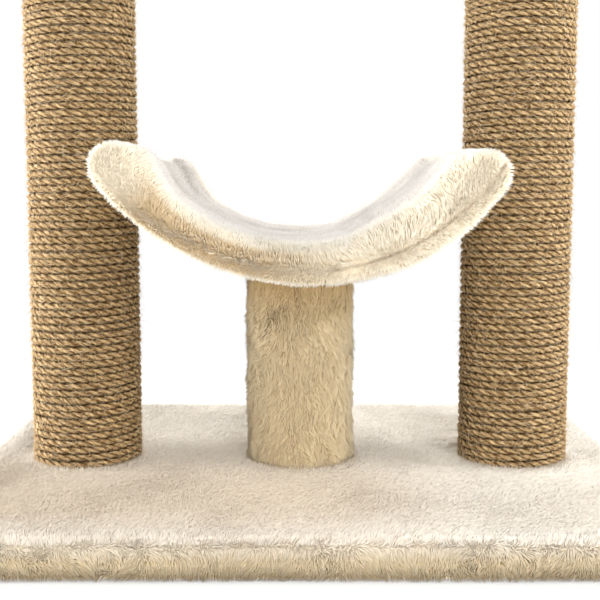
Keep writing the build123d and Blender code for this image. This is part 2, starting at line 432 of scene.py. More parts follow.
def make_rope():
    """Jute: pale crowns, painted shade in the lays between the strands and between the turns,
    lengthwise fibres.
    """
    material, tree, shader = new_finish("jute_rope", Specular_IOR_Level=0.15)
    strand = add_node(tree, "ShaderNodeUVMap", uv_map="strand").outputs[0]
    along_fibres = vectors(tree, "MULTIPLY", strand, (130.0, 15.0, 1.0))
    fibres = place_group(tree, STREAKS, {"Place": along_fibres, "Fineness": 1.0})
    crown = own_value(tree, "crown")
    contrast = ranged(tree, fibres["Mask"], 0.25, 0.75, 0.0, 1.0)
    light = mixed(tree, contrast, srgb(88, 60, 27), srgb(244, 212, 158))
    patch = noise_value(tree, object_place(tree, (1, 1, 1.6)), 240.0, 4.0, 0.7)
    patch = ranged(tree, patch, 0.38, 0.62, 0.0, 1.0)
    light = mixed(tree, maths(tree, "MULTIPLY", patch, 0.55), light, srgb(110, 80, 43))
    # Painted shade in the lays between the strands
    colour = mixed(tree, crown, srgb(84, 58, 28), light)
    # Painted shade deep between the turns, close to the tube
    from_post = vectors(tree, "ABSOLUTE", object_place(tree))
    from_post = vectors(tree, "SUBTRACT", from_post, (POST_OFFSET, 0, 0))
    radius = length_of(tree, vectors(tree, "MULTIPLY", from_post, (1, 1, 0)))
    clear = ranged(tree, radius, WINDING_RADIUS, POST_RADIUS - 0.8 * MM, 0.0, 1.0)
    colour = mixed(tree, clear, srgb(58, 36, 13), colour)
    roughness = ranged(tree, fibres["Mask"], 0, 1, 0.9, 0.7)
    wire(tree, shader, colour, roughness, bump(tree, fibres["Height"], 1.0, 0.8 * MM))
    return material


def make_stray_fibre():
    material, tree, shader = new_finish("jute_fibre", Specular_IOR_Level=0.3)
    pale = mixed(tree, own_value(tree, "tone"), srgb(196, 168, 124), srgb(240, 222, 188))
    wire(tree, shader, pale, ranged(tree, own_value(tree, "along"), 0, 1, 0.8, 0.6))
    return material


def make_chips(name, dark, light, fineness):
    """Pressed wood chips, as particle board shows on a raw face."""
    material, tree, shader = new_finish(name, Specular_IOR_Level=0.2)
    chips = cells(tree, {"Vector": object_place(tree, (1, 0.55, 1)), "Scale": fineness})
    tint = add_node(tree, "ShaderNodeSeparateColor", {0: chips["Color"]})
    colour = mixed(tree, tint.outputs[0], dark, light)
    roughness = ranged(tree, tint.outputs[1], 0, 1, 0.6, 0.85)
    wire(tree, shader, colour, roughness, bump(tree, chips["Distance"], 0.25, 0.3 * MM))
    return material


def make_grain(name, dark, light, stretch, fineness, roughness):
    """Wood or paper fibre drawn out along one way."""
    material, tree, shader = new_finish(name, Specular_IOR_Level=0.25)
    sockets = {"Place": object_place(tree, stretch), "Fineness": fineness}
    streaks = place_group(tree, STREAKS, sockets)
    colour = mixed(tree, streaks["Mask"], dark, light)
    uneven = ranged(tree, streaks["Mask"], 0, 1, roughness, roughness - 0.15)
    wire(tree, shader, colour, uneven, bump(tree, streaks["Height"], 0.3, 0.2 * MM))
    return material


def make_zinc():
    """Zinc plate: a mottled bright coat with fine scratches."""
    material, tree, shader = new_finish("zinc_steel", Metallic=1.0)
    cloud = noise_value(tree, object_place(tree), 260.0, 4.0)
    sockets = {"Place": object_place(tree, (1, 1, 6)), "Fineness": 500.0}
    streaks = place_group(tree, STREAKS, sockets)
    colour = mixed(tree, cloud, srgb(164, 166, 168), srgb(206, 207, 206))
    roughness = ranged(tree, cloud, 0.3, 0.7, 0.42, 0.26)
    wire(tree, shader, colour, roughness, bump(tree, streaks["Height"], 0.12, 0.1 * MM))
    return material


CRADLE_TONES = (srgb(238, 216, 174), srgb(255, 249, 234))
# Greyer tones: painted shade in the cradle's hollow
TROUGH_SHADE_TONES = (srgb(204, 194, 183), srgb(232, 226, 218))
# Painted light: the base's plush as a darker, deeper shaded copy for its sides and a lighter lit
# copy for its top
BASE_SHADED_SIDE_TONES = (srgb(190, 161, 114), srgb(240, 225, 194))
BASE_LIT_TOP_TONES = (srgb(245, 237, 223), srgb(255, 250, 241))
SLEEVE_TONES = (srgb(194, 157, 104), srgb(247, 232, 196))
PILE_LOOKS = {
    # Painted light: the base's shaded side copy passes into its lit top copy between 12 and 27 mm
    # up
    "base": ((BASE_SHADED_SIDE_TONES, BASE_LIT_TOP_TONES), 14.0, 0.05, ("Z", 12 * MM, 27 * MM)),
    "cradle": ((CRADLE_TONES,), 30.0, 0.04),
    # Painted shade in the trough's middle, passing into the cradle's own lighter tones towards both
    # ends
    "trough": ((TROUGH_SHADE_TONES, CRADLE_TONES), 24.0, 0.05, ("Y", 110 * MM, 155 * MM)),
    "sleeve": ((SLEEVE_TONES,), 42.0, 0.04),
}
ground_cloth = make_ground_cloth()
jute_rope = make_rope()
jute_fibre = make_stray_fibre()
zinc_steel = make_zinc()

SLOT_FINISHES = {
    "board": make_chips("particle_board", srgb(176, 144, 102), srgb(208, 178, 134), 560.0),
    "plug_wood": make_chips("pressed_wood", srgb(178, 146, 106), srgb(212, 184, 142), 700.0),
    "plywood": make_grain(
        "plywood", srgb(186, 148, 98), srgb(222, 188, 138), (1, 0.08, 1), 240.0, 0.7
    ),
    "tube_paper": make_grain(
        "grey_paper_board", srgb(150, 128, 100), srgb(182, 160, 130), (1, 1, 0.2), 320.0, 0.9
    ),
    "wadding": make_grain(
        "wadding", srgb(222, 220, 214), srgb(242, 241, 237), (1, 1, 1), 180.0, 0.98
    ),
    "steel": zinc_steel,
}


# Mesh helpers


def to_mesh(bm, name):
    mesh = bpy.data.meshes.new(name)
    bm.to_mesh(mesh)
    bm.free()
    return mesh


def in_scene(name, data):
    obj = bpy.data.objects.new(name, data)
    bpy.context.scene.collection.objects.link(obj)
    return obj


def discard(obj):
    bpy.data.objects.remove(obj, do_unlink=True)


def settled(obj, name):
    """The object's mesh with its modifiers or its bevel worked in."""
    bpy.context.view_layer.update()
    depsgraph = bpy.context.evaluated_depsgraph_get()
    mesh = bpy.data.meshes.new_from_object(
        obj.evaluated_get(depsgraph), preserve_all_data_layers=True, depsgraph=depsgraph
    )
    mesh.name = name
    return mesh


def shaped(mesh, name, kind, **settings):
    """A copy of the mesh with one modifier worked in."""
    worker = in_scene(name, mesh)
    modifier = worker.modifiers.new(kind.title(), kind)
    for key, value in settings.items():
        setattr(modifier, key, value)
    result = settled(worker, name)
    discard(worker)
    return result


def new_piece(name, mesh, finish):
    """A finished piece of the part, riding on its only body."""
    mesh.materials.clear()
    mesh.materials.append(finish)
    mesh.shade_smooth()
    piece = in_scene(name, mesh)
    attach(piece, "root")
    return piece


def write_values(mesh, name, kind, values):
    layer = mesh.attributes.new(name, kind, "POINT")
    key = "vector" if kind == "FLOAT_VECTOR" else "value"
    layer.data.foreach_set(key, np.asarray(values, dtype=np.float32).ravel())


def bevel(bm, edges, offset, segments):
    bmesh.ops.bevel(
        bm,
        geom=edges,
        offset=offset,
        offset_type="OFFSET",
        segments=segments,
        profile=0.5,
        affect="EDGES",
        material=-1,
    )


def everywhere(place, normal):
    return True


# Pile


def new_needle():
    """A three-sided needle, one long and one wide, standing on its root."""
    bm = bmesh.new()
    bmesh.ops.create_cone(bm, segments=3, radius1=0.5, radius2=0.0, depth=1.0, cap_ends=True)
    bmesh.ops.translate(bm, verts=bm.verts, vec=(0, 0, 0.5))
    bmesh.ops.remove_doubles(bm, verts=bm.verts, dist=1e-4)
    return bm


def as_pattern(bm, name, finish):
    """An object to copy onto a bed, which knows how far along it each point is."""
    bmesh.ops.recalc_face_normals(bm, faces=bm.faces)
    mesh = to_mesh(bm, name)
    write_values(mesh, "along", "FLOAT", [vert.co.z for vert in mesh.vertices])
    mesh.materials.append(finish)
    mesh.shade_smooth()
    return in_scene(name, mesh)


def corner_places(mesh):
    """Where each corner of a tuft sits in its own square of the bake map."""
    places = []
    for face in mesh.polygons:
        for turn, index in enumerate(face.vertices):
            up = mesh.vertices[index].co.z
            across = 0.5 if up > 0.5 else 0.1 + 0.8 * (turn % 2)
            places.append((across, 0.1 + 0.8 * up if up > 0.5 else 0.1 + 0.1 * turn))
    return np.array(places)


def lay_out_tufts(mesh, places):
    """Gives every tuft a square of its own on the bake map."""
    count = len(mesh.loops) // len(places)
    side = math.ceil(math.sqrt(count))
    tufts = np.arange(count)
    squares = np.stack([tufts % side, tufts // side], axis=1)
    spots = (squares[:, None, :] + places[None, :, :]) / side
    layer = mesh.uv_layers.new(name="OFBake")
    layer.uv.foreach_set("vector", spots.astype(np.float32).ravel())


def bed_field(tree, name, kind):
    node = add_node(tree, "GeometryNodeInputNamedAttribute", {"Name": name}, data_type=kind)
    return node.outputs["Attribute"]


def chance(tree, low, high, seed):
    return add_node(tree, "FunctionNodeRandomValue", {2: low, 3: high, "Seed": seed}).outputs[1]


def stored(tree, points, name, kind, value):
    sockets = {"Geometry": points, "Name": name, "Value": value}
    settings = {"domain": "POINT", "data_type": kind}
    return add_node(tree, "GeometryNodeStoreNamedAttribute", sockets, **settings).outputs[0]


def pile_tree(name, tuft, spacing, length, width, ruffle, seed, clumping):
    """Nodes that stand a tuft at each point of a bed, leaning as it is combed."""
    tree = bpy.data.node_groups.new(name, "GeometryNodeTree")
    for way in ("INPUT", "OUTPUT"):
        tree.interface.new_socket("Geometry", in_out=way, socket_type="NodeSocketGeometry")
    bed = tree.nodes.new("NodeGroupInput").outputs[0]
    standing = bed_field(tree, "pile", "FLOAT")
    combed = bed_field(tree, "comb", "FLOAT_VECTOR")
    roots = add_node(
        tree,
        "GeometryNodeDistributePointsOnFaces",
        {
            "Mesh": bed,
            "Distance Min": spacing,
            "Density Max": 3.0 / spacing**2,
            "Density Factor": maths(tree, "GREATER_THAN", standing, 0.05),
            "Seed": seed,
        },
        distribute_method="POISSON",
    ).outputs
    place = tree.nodes.new("GeometryNodeInputPosition").outputs[0]
    sockets = {"Vector": place, "Scale": clumping, "Detail": 1.5}
    clumps = add_node(tree, "ShaderNodeTexNoise", sockets).outputs["Color"]
    clumps = vectors(tree, "SUBTRACT", clumps, (0.5, 0.5, 0.5))
    clumps = vectors(tree, "MULTIPLY", clumps, (ruffle,) * 3)
    lean = vectors(tree, "ADD", combed, clumps)
    lean = vectors(tree, "ADD", lean, roots["Normal"])
    spin = add_node(tree, "ShaderNodeCombineXYZ", {"Z": chance(tree, 0.0, math.tau, seed + 1)})
    spin = add_node(tree, "FunctionNodeEulerToRotation", {0: spin.outputs[0]}).outputs[0]
    stand = add_node(tree, "FunctionNodeAlignRotationToVector", {"Vector": lean}, axis="Z")
    sockets = {0: stand.outputs[0], 1: spin}
    stand = add_node(tree, "FunctionNodeRotateRotation", sockets, rotation_space="LOCAL").outputs[0]
    tall = maths(tree, "MULTIPLY", standing, chance(tree, 0.75, 1.2, seed + 2))
    tall = maths(tree, "MULTIPLY", tall, length)
    size = add_node(tree, "ShaderNodeCombineXYZ", {0: width, 1: width, 2: tall}).outputs[0]
    tone = chance(tree, 0.0, 1.0, seed + 3)
    points = stored(tree, roots["Points"], "tone", "FLOAT", tone)
    points = stored(tree, points, "ground", "FLOAT_VECTOR", roots["Normal"])
    shape = add_node(tree, "GeometryNodeObjectInfo", {"Object": tuft}).outputs["Geometry"]
    sockets = {"Points": points, "Instance": shape, "Rotation": stand, "Scale": size}
    tufts = add_node(tree, "GeometryNodeInstanceOnPoints", sockets).outputs[0]
    whole = add_node(tree, "GeometryNodeRealizeInstances", {"Geometry": tufts}).outputs[0]
    tree.links.new(whole, tree.nodes.new("NodeGroupOutput").inputs[0])
    return tree


def part_of_bed(bed, name, keep):
    """A copy of the bed with only the faces that keep() picks."""
    bm = bmesh.new()
    bm.from_mesh(bed)
    dropped = [face for face in bm.faces if not keep(face.calc_center_median(), face.normal)]
    bmesh.ops.delete(bm, geom=dropped, context="FACES")
    return to_mesh(bm, name)


def grow_pile(name, bed, keep, tuft, *sizes, slot="plush", clumping=SMALL_CLUMPS):
    """Pile on the chosen part of a combed bed, as one piece of real tufts."""
    grower = in_scene(name + "_bed", part_of_bed(bed, name + "_bed", keep))
    modifier = grower.modifiers.new("pile", "NODES")
    modifier.node_group = pile_tree(name, tuft, *sizes, clumping)
    mesh = settled(grower, name)
    discard(grower)
    for vert in mesh.vertices:
        vert.co.z = max(vert.co.z, FLOOR_CLEARANCE)
    lay_out_tufts(mesh, corner_places(tuft.data))
    for layer in ("pile", "comb", "crown"):
        if layer in mesh.attributes:
            mesh.attributes.remove(mesh.attributes[layer])
    return new_piece(name, mesh, tuft.data.materials[0])


def grow_piles(part, bed, areas, seed, clumping):
    """The pile of each area of a bed, one piece to an area."""
    piles = []
    for index, (area, keep, tuft, sizes) in enumerate(areas):
        name = f"{part}_pile_{area}"
        own_seed = seed + 10 * index
        piles.append(grow_pile(name, bed, keep, tuft, *sizes, own_seed, clumping=clumping))
    return piles


def comb_bed(bed, comb_at):
    """Writes how long the pile stands, which way it leans and how much painted shade darkens its
    colour.
    """
    stands, leans, shades = zip(*[comb_at(vert.co, vert.normal) for vert in bed.vertices])
    write_values(bed, "pile", "FLOAT", stands)
    write_values(bed, "comb", "FLOAT_VECTOR", leans)
    write_values(bed, "shade", "FLOAT", shades)


# Rope posts


def make_strand_profile():
    """The rope's section: three round strands laid together."""
    curve = bpy.data.curves.new("strand_profile", "CURVE")
    spline = curve.splines.new("POLY")
    spline.points.add(len(STRAND_REACH) * 3 - 1)
    for index, point in enumerate(spline.points):
        angle = math.tau * index / len(spline.points)
        radius = ROPE_RADIUS * STRAND_REACH[index % len(STRAND_REACH)]
        point.co = (radius * math.cos(angle), radius * math.sin(angle), 0, 1)
    spline.use_cyclic_u = True
    return in_scene("strand_profile", curve)


def wind_rope(name, centre_x, first_turn, turns, profile):
    """One stretch of rope, wound right-handed round its tube."""
    curve = bpy.data.curves.new(name, "CURVE")
    curve.dimensions = "3D"
    curve.twist_mode = "Z_UP"
    curve.bevel_mode = "OBJECT"
    curve.bevel_object = profile
    curve.use_fill_caps = True
    spline = curve.splines.new("POLY")
    spline.points.add(turns * ROPE_STEPS_A_TURN)
    for index, point in enumerate(spline.points):
        turn = first_turn + index / ROPE_STEPS_A_TURN
        angle = math.tau * turn
        along = turn * ROPE_TURN_LENGTH
        drift = noise.noise(Vector((turn * 1.7, centre_x * 40, 3.1)))
        swell = noise.noise(Vector((along * 22, centre_x * 40, 9.4)))
        radius = WINDING_RADIUS + 0.2 * MM * swell
        height = ROPE_START + turn * ROPE_PITCH + 0.6 * MM * drift
        point.co = (centre_x + radius * math.cos(angle), radius * math.sin(angle), height, 1)
        slack = noise.noise(Vector((along * 30, centre_x * 40, 5.7)))
        point.tilt = math.remainder(ROPE_TWIST * along + 0.5 * slack, math.tau)
        point.radius = 1.0 + 0.06 * swell
    winding = in_scene(name, curve)
    mesh = settled(winding, name)
    discard(winding)
    map_strands(mesh, turns)
    crowns = [STRAND_CROWN[index % len(STRAND_CROWN)] for index in range(len(mesh.vertices))]
    write_values(mesh, "crown", "FLOAT", crowns)
    bm = bmesh.new()
    bm.from_mesh(mesh)
    bmesh.ops.remove_doubles(bm, verts=bm.verts, dist=1e-6)
    if bm.calc_volume(signed=True) < 0:
        bmesh.ops.reverse_faces(bm, faces=bm.faces)
    bm.normal_update()
    for vert in bm.verts:
        rough = noise.noise(vert.co * 320) + 0.7 * noise.noise(vert.co * 800)
        vert.co += vert.normal * ROPE_ROUGHNESS * rough
    bm.to_mesh(mesh)
    bm.free()
    return mesh


def map_strands(mesh, turns):
    """Two maps: one that runs along the strands, one with a row for each turn."""
    swept = mesh.uv_layers[0]
    swept.name = "strand"
    spots = np.zeros(len(mesh.loops) * 2, dtype=np.float32)
    swept.uv.foreach_get("vector", spots)
    spots = spots.reshape(-1, 2)
    starts = np.zeros(len(mesh.polygons), dtype=np.int32)
    mesh.polygons.foreach_get("loop_start", starts)
    sizes = np.diff(np.append(starts, len(mesh.loops)))
    middles = np.add.reduceat(spots[:, 0], starts) / sizes
    rows = np.repeat(np.clip(np.floor(middles * turns), 0, turns - 1), sizes)
    turned = np.stack([spots[:, 0] * turns - rows, (rows + spots[:, 1]) / turns], axis=1)
    baked = mesh.uv_layers.new(name="OFBake")
    baked.uv.foreach_set("vector", turned.astype(np.float32).ravel())
    spots[:, 0] *= turns * ROPE_TURN_LENGTH
    spots[:, 1] += FIBRE_SHEAR * spots[:, 0] / ROPE_LAY
    mesh.uv_layers["strand"].uv.foreach_set("vector", spots.ravel())


def make_fibre():
    """A stray jute fibre: a thin needle with a bend in it."""
    bm = new_needle()
    whole = bm.verts[:] + bm.edges[:] + bm.faces[:]
    bmesh.ops.bisect_plane(bm, geom=whole, plane_co=(0, 0, 0.5), plane_no=(0, 0, 1))
    bmesh.ops.triangulate(bm, faces=bm.faces)
    bends = [vert for vert in bm.verts if 0.4 < vert.co.z < 0.6]
    bmesh.ops.translate(bm, verts=bends, vec=(1.6, 0, 0.08))
    return as_pattern(bm, "fibre", jute_fibre)


def dress_post(side, centre_x, profile, fibre):
    """The rope on one post, in two stretches, and the fibres that stray from it."""

    def fibre_lean(place, normal):
        outward = Vector((place.x - centre_x, place.y, 0)).normalized()
        round_post = Vector((-outward.y, outward.x, 0))
        wander = noise.noise_vector(place * 160)
        facing = 1.0 if normal.dot(outward) > 0.35 else 0.0
        lean = round_post * wander.x * 9 + Vector((0, 0, 4 * wander.y)) - outward * 0.4
        return facing, lean, 0.0

    for index, stretch in enumerate(("low", "high")):
        name = f"{side}_rope_{stretch}"
        mesh = wind_rope(name, centre_x, index * TURNS_A_STRETCH, TURNS_A_STRETCH, profile)
        bed = mesh.copy()
        for layer in ("strand", "OFBake"):
            bed.uv_layers.remove(bed.uv_layers[layer])
        comb_bed(bed, fibre_lean)
        rope = new_piece(name, mesh, jute_rope)
        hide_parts(f"{side}_rope")
        strays = f"{side}_rope_fibres_{stretch}"
        grow_pile(strays, bed, everywhere, fibre, *FIBRE_PILE, FIBRE_SEED + index, slot="rope")


# Base


def rounded_slab(half_width, half_depth, bottom, top, corner, edge):
    """A slab with rounded corners and a rounded top edge."""
    bm = bmesh.new()
    bmesh.ops.create_cube(bm, size=2.0)
    bmesh.ops.scale(bm, verts=bm.verts, vec=(half_width, half_depth, (top - bottom) / 2))
    bmesh.ops.translate(bm, verts=bm.verts, vec=(0, 0, (top + bottom) / 2))
    uprights = [line for line in bm.edges if abs(line.verts[0].co.z - line.verts[1].co.z) > MM]
    bevel(bm, uprights, corner, 6)
    rim = [line for line in bm.edges if min(vert.co.z for vert in line.verts) > top - 0.1 * MM]
    bevel(bm, rim, edge, 4)
    return bm


def turn_under(bm, half_width, half_depth, corner):
    """Leaves only a hem of the slab's underside, round a window with its own corners."""
    underside = [face for face in bm.faces if face.normal.z < -0.9]
    bmesh.ops.inset_region(bm, faces=underside, thickness=1 * MM)
    reach_x = half_width - HEM_WIDTH - HEM_CORNER_RADIUS
    reach_y = half_depth - HEM_WIDTH - HEM_CORNER_RADIUS
    for vert in underside[0].verts:
        past_x = abs(vert.co.x) - half_width + corner
        past_y = abs(vert.co.y) - half_depth + corner
        turn = math.atan2(past_y, past_x)
        vert.co.x = math.copysign(reach_x + HEM_CORNER_RADIUS * math.cos(turn), vert.co.x)
        vert.co.y = math.copysign(reach_y + HEM_CORNER_RADIUS * math.sin(turn), vert.co.y)
    bmesh.ops.delete(bm, geom=underside, context="FACES")


def staple_hem(half_width, half_depth, bottom):
    """Wire staples along the hem, evenly spaced on each of its four sides."""
    bm = bmesh.new()
    middle = HEM_WIDTH * 0.6
    rows = (
        (half_width - middle, half_depth - 3 * HEM_WIDTH, 7, math.pi / 2),
        (half_depth - middle, half_width - 3 * HEM_WIDTH, 8, 0.0),
    )
    for offset, reach, count, turn in rows:
        for side in (-1, 1):
            for index in range(count):
                along = reach * (2 * index / (count - 1) - 1)
                lie = Matrix.Rotation(turn, 4, "Z")
                place = Vector((along, side * offset, bottom))
                made = bmesh.ops.create_cube(bm, size=1.0)["verts"]
                bmesh.ops.scale(bm, verts=made, vec=STAPLE_SIZE)
                bmesh.ops.translate(bm, verts=made, vec=place)
                bmesh.ops.transform(bm, matrix=lie, verts=made)
    bevel(bm, bm.edges[:], 0.15 * MM, 1)
    new_piece("hem_staples", to_mesh(bm, "hem_staples"), zinc_steel)


def near_posts(place):
    """How far a point of the base is from the nearest post."""
    centres = (-POST_OFFSET, 0.0, POST_OFFSET)
    return min(math.hypot(place.x - centre, place.y) for centre in centres) - POST_RADIUS


def base_comb(place, normal):
    """Pile on the base: brushed in patches and painted with shade on top, upright by the posts,
    hanging at the sides.
    """
    gap = near_posts(place)
    on_top = ease(normal.z, 0.2, 0.95)
    stand = 1 - on_top * (1 - ease(gap, -5 * MM, -1 * MM))
    brushed = noise.noise_vector(place * 12) + 0.3 * noise.noise_vector(place * 46)
    nap = Vector((1.1 + 1.2 * brushed.x, -0.9 + 1.2 * brushed.y, 0))
    from_rim = min(BOARD_HALF_WIDTH - abs(place.x), BOARD_HALF_DEPTH - abs(place.y))
    lean = on_top * nap * ease(gap, 0, 12 * MM) * (0.3 + 0.7 * ease(from_rim, 0, 25 * MM))
    locks = noise.noise_vector(place * 24) + 0.6 * noise.noise_vector(place * 70)
    along_edge = Vector((-normal.y, normal.x, 0))
    lean += (1 - on_top) * (along_edge * 2.2 * locks.x + Vector((0, 0, 1.2 * locks.z)))
    parting = 0.45 + 0.35 * noise.noise(place * 70) + 0.25 * noise.noise(place * 190)
    on_edge = ease(normal.z, parting, parting + 0.3) * (1 - ease(normal.z, 0.9, 1.0))
    lean += on_edge * Vector((-0.5 * normal.x, -0.5 * normal.y, 0.8))
    lean.z -= 1.1 * (1 - ease(normal.z, parting - 0.15, parting + 0.15))
    # Painted shade on the top: darkest round the foot of each post, deeper over the front and
    # middle than at the back, and lighter on the right
    front_band_shade = ease(place.y, -185 * MM, -130 * MM) * (1 - ease(place.y, -40 * MM, 90 * MM))
    by_post = 1 - ease(gap, 0, 5 * MM)
    in_front = 1 - ease(place.y, -120 * MM, 60 * MM)
    left_shade_weight = 1 - 0.75 * ease(place.x, 10 * MM, 130 * MM)
    shade = 0.2 * in_front * left_shade_weight + max(0.16 * front_band_shade * left_shade_weight, 0.4 * by_post)
    return stand, lean, on_top * shade


def dress_base(tuft):
    """Plush cloth drawn over the board and stapled under it, and its pile."""
    outline = (
        BOARD_HALF_WIDTH + BASE_CLOTH_THICKNESS,
        BOARD_HALF_DEPTH + BASE_CLOTH_THICKNESS,
        BOARD_BOTTOM - CLOTH_THICKNESS,
        BOARD_TOP + BASE_CLOTH_THICKNESS,
        BOARD_CORNER_RADIUS + BASE_CLOTH_THICKNESS,
        6 * MM,
    )
    bm = rounded_slab(*outline)
    turn_under(bm, *outline[:2], outline[4])
    solid = {"thickness": CLOTH_THICKNESS, "offset": -1.0, "use_even_offset": True}
    cloth_mesh = shaped(to_mesh(bm, "base_cloth"), "base_cloth", "SOLIDIFY", **solid)
    cloth = new_piece("base_cloth", cloth_mesh, ground_cloth)
    cloth.data.shade_flat()
    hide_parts("base_cover")
    staple_hem(*outline[:3])
    bed = to_mesh(rounded_slab(*outline), "base_bed")
    bed = shaped(bed, "base_bed", "REMESH", mode="VOXEL", voxel_size=3 * MM)
    comb_bed(bed, base_comb)
    areas = (
        ("front", lambda place, up: up.z > FLAT_TOP and place.y <= 0, tuft, BASE_TOP_PILE),
        ("back", lambda place, up: up.z > FLAT_TOP and place.y > 0, tuft, BASE_TOP_PILE),
        ("edge", lambda place, up: 0.3 < up.z <= FLAT_TOP, tuft, BASE_EDGE_PILE),
        ("sides", lambda place, up: -0.6 < up.z <= 0.45, tuft, BASE_SIDE_PILE),
    )
    piles = grow_piles("base", bed, areas, BASE_SEED, LARGE_CLUMPS)


# Short post


def sleeve_comb(place, normal):
    """Pile on the short post: combed down, in swirls, with painted shade in patches under the
    cradle.
    """
    across = Vector((-normal.y, normal.x, 0))
    swirl = noise.noise_vector(place * 30) + 0.6 * noise.noise_vector(place * 75)
    lean = Vector((0, 0, -1.5)) + across * 2.6 * swirl.x + Vector((0, 0, 1.2 * swirl.z))
    stand = ease(CRADLE_SEAT - place.z, 0, 8 * MM) * 0.7 + 0.3
    # Painted shade under the cradle, broken into patches
    dark = ease(noise.noise(place * 24 + Vector((3.1, 0, 0))), 0.0, 0.45)
    shade = (0.7 + 0.3 * dark) * (1 - ease(CRADLE_SEAT - place.z, 0, 60 * MM))
    return stand, lean, shade


def dress_short_post(tuft):
    """A plush sleeve whose edges meet at an upright seam, and its pile."""
    seam_gap = 1.0 * MM / TUBE_RADIUS
    cloth_radius = TUBE_RADIUS + CLOTH_THICKNESS
    bm = bmesh.new()
    bmesh.ops.create_grid(bm, x_segments=60, y_segments=30, size=1.0)
    for vert in bm.verts:
        angle = SLEEVE_SEAM_ANGLE + math.pi + vert.co.x * (math.pi - seam_gap / 2)
        rise = (vert.co.y + 1) / 2 * (CRADLE_SEAT - POST_BOTTOM)
        round_tube = (cloth_radius * math.cos(angle), cloth_radius * math.sin(angle))
        vert.co = (*round_tube, POST_BOTTOM + rise)
    bed = to_mesh(bm, "sleeve_bed")
    comb_bed(bed, sleeve_comb)
    solid = {"thickness": CLOTH_THICKNESS, "offset": -1.0}
    cloth_mesh = shaped(bed.copy(), "sleeve_cloth", "SOLIDIFY", **solid)
    cloth = new_piece("sleeve_cloth", cloth_mesh, ground_cloth)
    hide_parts("cradle_post_sleeve")
    sizes = (*SLEEVE_PILE, SLEEVE_SEED)
    pile = grow_pile("sleeve_pile", bed, everywhere, tuft, *sizes, clumping=LARGE_CLUMPS)


# Cradle


def bent_slab():
    """The stuffed slab, bent round an axis over the short post."""
    bm = bmesh.new()
    bmesh.ops.create_grid(bm, x_segments=SLAB_STEPS, y_segments=1, size=1.0)
    flat = to_mesh(bm, "cradle_slab")
    slab = shaped(flat, "cradle_slab", "SOLIDIFY", thickness=1.0, offset=1.0)
    for vert in slab.vertices:
        angle = vert.co.x * CRADLE_HALF_ANGLE
        radius = UNDERSIDE_RADIUS + (TROUGH_RADIUS - UNDERSIDE_RADIUS) * vert.co.z
        along = vert.co.y * CRADLE_HALF_LENGTH
        vert.co = (radius * math.sin(angle), along, BEND_AXIS - radius * math.cos(angle))
    bm = bmesh.new()
    bm.from_mesh(slab)
    bm.normal_update()
    rims = [edge for edge in bm.edges if edge.calc_face_angle(0) > math.radians(60)]
    bevel(bm, rims, 5 * MM, 3)
    return to_mesh(bm, "cradle_slab")


def bend_place(place):
    """A point's radius and angle about the bend's axis."""
    drop = BEND_AXIS - place.z
    return math.hypot(place.x, drop), math.atan2(place.x, drop)


def on_seat(place):
    """1 where the cradle is clamped on the short post, 0 away from it."""
    radius, _ = bend_place(place)
    if radius < UNDERSIDE_RADIUS - 4 * MM:
        return 0.0
    return 1 - ease(math.hypot(place.x, place.y), 34 * MM, 50 * MM)


def puff_up(mesh):
    """Swells the slab under a little pressure, held at its seam and its seat."""
    before = [vert.co.copy() for vert in mesh.vertices]
    pad = in_scene("cradle_pad", mesh)
    pins = pad.vertex_groups.new(name="held")
    for vert in mesh.vertices:
        radius, angle = bend_place(vert.co)
        on_rim = abs(vert.co.y) > CRADLE_HALF_LENGTH - 4 * MM
        on_tip = abs(angle) > CRADLE_HALF_ANGLE - math.radians(2)
        seam = (on_rim or on_tip) and abs(radius - SEAM_RADIUS) < 2.2 * MM
        held = max(1.0 if seam else 0.0, on_seat(vert.co))
        pins.add([vert.index], held, "REPLACE")
    cloth = pad.modifiers.new("puff", "CLOTH")
    for key, value in PUFF_SETTINGS.items():
        setattr(cloth.settings, key, value)
    cloth.settings.effector_weights.gravity = 0.0
    cloth.settings.vertex_group_mass = "held"
    cloth.point_cache.frame_start = 1
    cloth.point_cache.frame_end = PUFF_FRAMES
    for number in range(1, PUFF_FRAMES + 1):
        bpy.context.scene.frame_set(number)
    result = settled(pad, "cradle_cloth")
    bpy.context.scene.frame_set(1)
    discard(pad)
    for vert, start in zip(result.vertices, before):
        move = vert.co - start
        if move.length > PUFF_LIMIT:
            vert.co = start + move.normalized() * PUFF_LIMIT
    return result


def hump(angle, middle, width):
    """1 at the middle angle, falling off to both sides, in degrees."""
    return math.exp(-(((math.degrees(angle) - middle) / width) ** 2))


def toward_front(place):
    return ease(-place.y, SAG_STARTS, SAG_ENDS)


